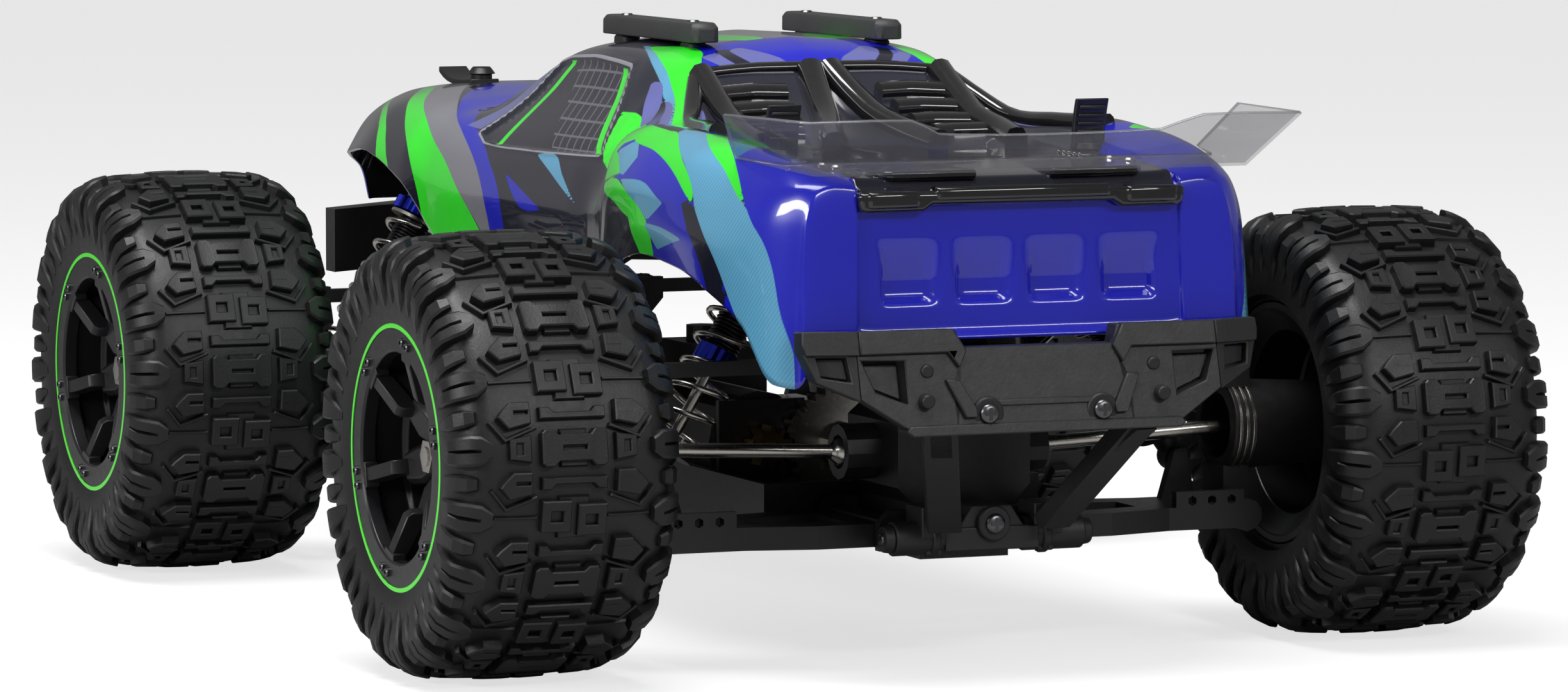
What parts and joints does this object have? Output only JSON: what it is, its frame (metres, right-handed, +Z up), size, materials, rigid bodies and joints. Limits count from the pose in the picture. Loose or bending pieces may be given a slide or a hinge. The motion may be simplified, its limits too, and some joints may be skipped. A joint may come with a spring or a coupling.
{
  "type": "radio-controlled monster truck",
  "caption": "Radio-controlled four-wheel-drive monster truck with a painted pickup body, big treaded tyres, coil-over suspension, steering and a shaft drive line.",
  "frame": {"origin": "on the ground, midway between the axles and between the left and right wheels", "axes": "+X forward, +Y to the truck's left, +Z up"},
  "size_m": [0.4023, 0.295, 0.156],
  "materials": {
    "tyre": "matte",
    "rim": "satin, with a green line on the bead ring",
    "steel": "satin",
    "shock_alloy": "blue anodised",
    "motor_can": "satin",
    "brass": "satin",
    "body_paint": "gloss, with green, light blue, grey and black shapes",
    "clear_sheet": "clear",
    "skid": "fine texture",
    "battery_wrap": "shrink wrap",
    "electronics_case": "satin",
    "bumper": "fine texture",
    "black_plastic": "satin"
  },
  "bodies": {
    "chassis": {"chassis_tray": "black_plastic", "front_bumper": "bumper", "rear_bumper": "bumper", "front_gearbox": "black_plastic", "rear_gearbox": "black_plastic", "motor": "motor_can", "battery_pack": "battery_wrap", "speed_controller": "electronics_case", "steering_servo": "electronics_case"},
    "body": {"body_shell": "body_paint", "roof_skid_left": "skid", "roof_skid_right": "skid", "rear_spoiler": "clear_sheet"},
    "centre_shaft": {"centre_driveshaft": "steel"},
    "pinion": {"motor_pinion": "brass"},
    "rack": {"steering_rack": "black_plastic"},
    "tie_left": {"tie_rod_left": "black_plastic"},
    "tie_right": {"tie_rod_right": "black_plastic"},
    "arm_front_left": {"lower_arm_front_left": "black_plastic"},
    "link_front_left": {"upper_link_front_left": "black_plastic"},
    "caster_left": {"caster_block_left": "black_plastic"},
    "wheel_front_left": {"tyre_front_left": "tyre", "wheel_front_left": "rim", "axle_front_left": "steel"},
    "shock_front_left": {"shock_body_front_left": "shock_alloy", "spring_front_left": "steel"},
    "piston_front_left": {"shock_rod_front_left": "steel"},
    "shaft_front_left": {"driveshaft_front_left": "steel"},
    "knuckle_left": {"steering_knuckle_left": "black_plastic"},
    "arm_front_right": {"lower_arm_front_right": "black_plastic"},
    "link_front_right": {"upper_link_front_right": "black_plastic"},
    "caster_right": {"caster_block_right": "black_plastic"},
    "wheel_front_right": {"tyre_front_right": "tyre", "wheel_front_right": "rim", "axle_front_right": "steel"},
    "shock_front_right": {"shock_body_front_right": "shock_alloy", "spring_front_right": "steel"},
    "piston_front_right": {"shock_rod_front_right": "steel"},
    "shaft_front_right": {"driveshaft_front_right": "steel"},
    "knuckle_right": {"steering_knuckle_right": "black_plastic"},
    "arm_rear_left": {"lower_arm_rear_left": "black_plastic"},
    "link_rear_left": {"upper_link_rear_left": "black_plastic"},
    "hub_rear_left": {"hub_rear_left": "black_plastic"},
    "wheel_rear_left": {"tyre_rear_left": "tyre", "wheel_rear_left": "rim", "axle_rear_left": "steel"},
    "shock_rear_left": {"shock_body_rear_left": "shock_alloy", "spring_rear_left": "steel"},
    "piston_rear_left": {"shock_rod_rear_left": "steel"},
    "shaft_rear_left": {"driveshaft_rear_left": "steel"},
    "arm_rear_right": {"lower_arm_rear_right": "black_plastic"},
    "link_rear_right": {"upper_link_rear_right": "black_plastic"},
    "hub_rear_right": {"hub_rear_right": "black_plastic"},
    "wheel_rear_right": {"tyre_rear_right": "tyre", "wheel_rear_right": "rim", "axle_rear_right": "steel"},
    "shock_rear_right": {"shock_body_rear_right": "shock_alloy", "spring_rear_right": "steel"},
    "piston_rear_right": {"shock_rod_rear_right": "steel"},
    "shaft_rear_right": {"driveshaft_rear_right": "steel"}
  },
  "joints": [
    {"name": "body_lift", "type": "slide", "parent": "chassis", "child": "body", "axis": [0, 0, 1], "range_m": [0, 0.07]},
    {"name": "suspension_front_left", "type": "hinge", "parent": "chassis", "child": "arm_front_left", "pos_m": [0.127, 0.02, 0.033], "axis": [1, 0, 0], "range_deg": [-8, 14], "stiffness_Nm_per_rad": 1.5, "springref_deg": -4.47},
    {"name": "upper_link_front_left", "type": "hinge", "parent": "chassis", "child": "link_front_left", "pos_m": [0.127, 0.02, 0.074], "axis": [1, 0, 0], "range_deg": [-8.1, 14.1]},
    {"name": "hub_pivot_front_left", "type": "hinge", "parent": "arm_front_left", "child": "caster_left", "pos_m": [0.127, 0.08, 0.033], "axis": [1, 0, 0], "range_deg": [-14.1, 8.1]},
    {"name": "shock_swing_front_left", "type": "hinge", "parent": "chassis", "child": "shock_front_left", "pos_m": [0.141, 0.038, 0.104], "axis": [1, 0, 0], "range_deg": [-1.6, 2.8]},
    {"name": "shock_stroke_front_left", "type": "slide", "parent": "shock_front_left", "child": "piston_front_left", "axis": [0, -0.5057, 0.8627], "range_m": [-0.0073, 0.0128], "deforming": ["spring_front_left"]},
    {"name": "driveshaft_swing_front_left", "type": "hinge", "parent": "chassis", "child": "shaft_front_left", "pos_m": [0.127, 0.026, 0.052], "axis": [1, 0, 0], "range_deg": [-7.6, 13.2]},
    {"name": "steer_left", "type": "hinge", "parent": "caster_left", "child": "knuckle_left", "pos_m": [0.127, 0.09, 0.055], "axis": [0, 0, 1], "range_deg": [-25, 25]},
    {"name": "wheel_spin_front_left", "type": "hinge", "parent": "knuckle_left", "child": "wheel_front_left", "pos_m": [0.127, 0.118, 0.055], "axis": [0, 1, 0], "continuous": true},
    {"name": "suspension_front_right", "type": "hinge", "parent": "chassis", "child": "arm_front_right", "pos_m": [0.127, -0.02, 0.033], "axis": [-1, 0, 0], "range_deg": [-8, 14], "stiffness_Nm_per_rad": 1.5, "springref_deg": -4.47},
    {"name": "upper_link_front_right", "type": "hinge", "parent": "chassis", "child": "link_front_right", "pos_m": [0.127, -0.02, 0.074], "axis": [-1, 0, 0], "range_deg": [-8.1, 14.1]},
    {"name": "hub_pivot_front_right", "type": "hinge", "parent": "arm_front_right", "child": "caster_right", "pos_m": [0.127, -0.08, 0.033], "axis": [-1, 0, 0], "range_deg": [-14.1, 8.1]},
    {"name": "shock_swing_front_right", "type": "hinge", "parent": "chassis", "child": "shock_front_right", "pos_m": [0.141, -0.038, 0.104], "axis": [-1, 0, 0], "range_deg": [-1.6, 2.8]},
    {"name": "shock_stroke_front_right", "type": "slide", "parent": "shock_front_right", "child": "piston_front_right", "axis": [0, 0.5057, 0.8627], "range_m": [-0.0073, 0.0128], "deforming": ["spring_front_right"]},
    {"name": "driveshaft_swing_front_right", "type": "hinge", "parent": "chassis", "child": "shaft_front_right", "pos_m": [0.127, -0.026, 0.052], "axis": [-1, 0, 0], "range_deg": [-7.6, 13.2]},
    {"name": "steer_right", "type": "hinge", "parent": "caster_right", "child": "knuckle_right", "pos_m": [0.127, -0.09, 0.055], "axis": [0, 0, 1], "range_deg": [-25, 25]},
    {"name": "wheel_spin_front_right", "type": "hinge", "parent": "knuckle_right", "child": "wheel_front_right", "pos_m": [0.127, -0.118, 0.055], "axis": [0, 1, 0], "continuous": true},
    {"name": "suspension_rear_left", "type": "hinge", "parent": "chassis", "child": "arm_rear_left", "pos_m": [-0.127, 0.02, 0.033], "axis": [1, 0, 0], "range_deg": [-8, 14], "stiffness_Nm_per_rad": 1.5, "springref_deg": -4.47},
    {"name": "upper_link_rear_left", "type": "hinge", "parent": "chassis", "child": "link_rear_left", "pos_m": [-0.127, 0.02, 0.074], "axis": [1, 0, 0], "range_deg": [-8.1, 14.1]},
    {"name": "hub_pivot_rear_left", "type": "hinge", "parent": "arm_rear_left", "child": "hub_rear_left", "pos_m": [-0.127, 0.08, 0.033], "axis": [1, 0, 0], "range_deg": [-14.1, 8.1]},
    {"name": "shock_swing_rear_left", "type": "hinge", "parent": "chassis", "child": "shock_rear_left", "pos_m": [-0.113, 0.038, 0.104], "axis": [1, 0, 0], "range_deg": [-1.6, 2.8]},
    {"name": "shock_stroke_rear_left", "type": "slide", "parent": "shock_rear_left", "child": "piston_rear_left", "axis": [0, -0.5057, 0.8627], "range_m": [-0.0073, 0.0128], "deforming": ["spring_rear_left"]},
    {"name": "driveshaft_swing_rear_left", "type": "hinge", "parent": "chassis", "child": "shaft_rear_left", "pos_m": [-0.127, 0.026, 0.052], "axis": [1, 0, 0], "range_deg": [-7.6, 13.2]},
    {"name": "wheel_spin_rear_left", "type": "hinge", "parent": "hub_rear_left", "child": "wheel_rear_left", "pos_m": [-0.127, 0.118, 0.055], "axis": [0, 1, 0], "continuous": true},
    {"name": "suspension_rear_right", "type": "hinge", "parent": "chassis", "child": "arm_rear_right", "pos_m": [-0.127, -0.02, 0.033], "axis": [-1, 0, 0], "range_deg": [-8, 14], "stiffness_Nm_per_rad": 1.5, "springref_deg": -4.47},
    {"name": "upper_link_rear_right", "type": "hinge", "parent": "chassis", "child": "link_rear_right", "pos_m": [-0.127, -0.02, 0.074], "axis": [-1, 0, 0], "range_deg": [-8.1, 14.1]},
    {"name": "hub_pivot_rear_right", "type": "hinge", "parent": "arm_rear_right", "child": "hub_rear_right", "pos_m": [-0.127, -0.08, 0.033], "axis": [-1, 0, 0], "range_deg": [-14.1, 8.1]},
    {"name": "shock_swing_rear_right", "type": "hinge", "parent": "chassis", "child": "shock_rear_right", "pos_m": [-0.113, -0.038, 0.104], "axis": [-1, 0, 0], "range_deg": [-1.6, 2.8]},
    {"name": "shock_stroke_rear_right", "type": "slide", "parent": "shock_rear_right", "child": "piston_rear_right", "axis": [0, 0.5057, 0.8627], "range_m": [-0.0073, 0.0128], "deforming": ["spring_rear_right"]},
    {"name": "driveshaft_swing_rear_right", "type": "hinge", "parent": "chassis", "child": "shaft_rear_right", "pos_m": [-0.127, -0.026, 0.052], "axis": [-1, 0, 0], "range_deg": [-7.6, 13.2]},
    {"name": "wheel_spin_rear_right", "type": "hinge", "parent": "hub_rear_right", "child": "wheel_rear_right", "pos_m": [-0.127, -0.118, 0.055], "axis": [0, 1, 0], "continuous": true},
    {"name": "rack_slide", "type": "slide", "parent": "chassis", "child": "rack", "axis": [0, 1, 0], "range_m": [-0.0078, 0.0078]},
    {"name": "tie_swing_left", "type": "hinge", "parent": "rack", "child": "tie_left", "pos_m": [0.109, 0.03, 0.053], "axis": [1, 0, 0], "range_deg": [-8.1, 14.1]},
    {"name": "tie_swing_right", "type": "hinge", "parent": "rack", "child": "tie_right", "pos_m": [0.109, -0.03, 0.053], "axis": [-1, 0, 0], "range_deg": [-8.1, 14.1]},
    {"name": "centre_spin", "type": "hinge", "parent": "chassis", "child": "centre_shaft", "pos_m": [0, 0, 0.047], "axis": [1, 0, 0], "continuous": true},
    {"name": "pinion_spin", "type": "hinge", "parent": "chassis", "child": "pinion", "pos_m": [-0.063, 0.02, 0.047], "axis": [1, 0, 0], "continuous": true}
  ],
  "couplings": [
    {"joint": "upper_link_front_left", "follows": "suspension_front_left", "ratio": 1},
    {"joint": "hub_pivot_front_left", "follows": "suspension_front_left", "ratio": -1},
    {"joint": "shock_swing_front_left", "follows": "suspension_front_left", "ratio": 0.195},
    {"joint": "shock_stroke_front_left", "follows": "suspension_front_left", "m_per_rad": 0.0518},
    {"joint": "driveshaft_swing_front_left", "follows": "suspension_front_left", "ratio": 0.93},
    {"joint": "upper_link_front_right", "follows": "suspension_front_right", "ratio": 1},
    {"joint": "hub_pivot_front_right", "follows": "suspension_front_right", "ratio": -1},
    {"joint": "shock_swing_front_right", "follows": "suspension_front_right", "ratio": 0.195},
    {"joint": "shock_stroke_front_right", "follows": "suspension_front_right", "m_per_rad": 0.0518},
    {"joint": "driveshaft_swing_front_right", "follows": "suspension_front_right", "ratio": 0.93},
    {"joint": "upper_link_rear_left", "follows": "suspension_rear_left", "ratio": 1},
    {"joint": "hub_pivot_rear_left", "follows": "suspension_rear_left", "ratio": -1},
    {"joint": "shock_swing_rear_left", "follows": "suspension_rear_left", "ratio": 0.195},
    {"joint": "shock_stroke_rear_left", "follows": "suspension_rear_left", "m_per_rad": 0.0518},
    {"joint": "driveshaft_swing_rear_left", "follows": "suspension_rear_left", "ratio": 0.93},
    {"joint": "upper_link_rear_right", "follows": "suspension_rear_right", "ratio": 1},
    {"joint": "hub_pivot_rear_right", "follows": "suspension_rear_right", "ratio": -1},
    {"joint": "shock_swing_rear_right", "follows": "suspension_rear_right", "ratio": 0.195},
    {"joint": "shock_stroke_rear_right", "follows": "suspension_rear_right", "m_per_rad": 0.0518},
    {"joint": "driveshaft_swing_rear_right", "follows": "suspension_rear_right", "ratio": 0.93},
    {"joint": "wheel_spin_front_left", "follows": "wheel_spin_rear_left", "ratio": 1},
    {"joint": "wheel_spin_front_right", "follows": "wheel_spin_rear_left", "ratio": 1},
    {"joint": "wheel_spin_rear_right", "follows": "wheel_spin_rear_left", "ratio": 1},
    {"joint": "steer_right", "follows": "steer_left", "ratio": 1},
    {"joint": "rack_slide", "follows": "steer_left", "m_per_rad": -0.01743},
    {"joint": "tie_swing_left", "follows": "suspension_front_left", "ratio": 1},
    {"joint": "tie_swing_right", "follows": "suspension_front_right", "ratio": 1},
    {"joint": "centre_spin", "follows": "wheel_spin_rear_left", "ratio": 2.8},
    {"joint": "pinion_spin", "follows": "wheel_spin_rear_left", "ratio": -8.4}
  ]
}
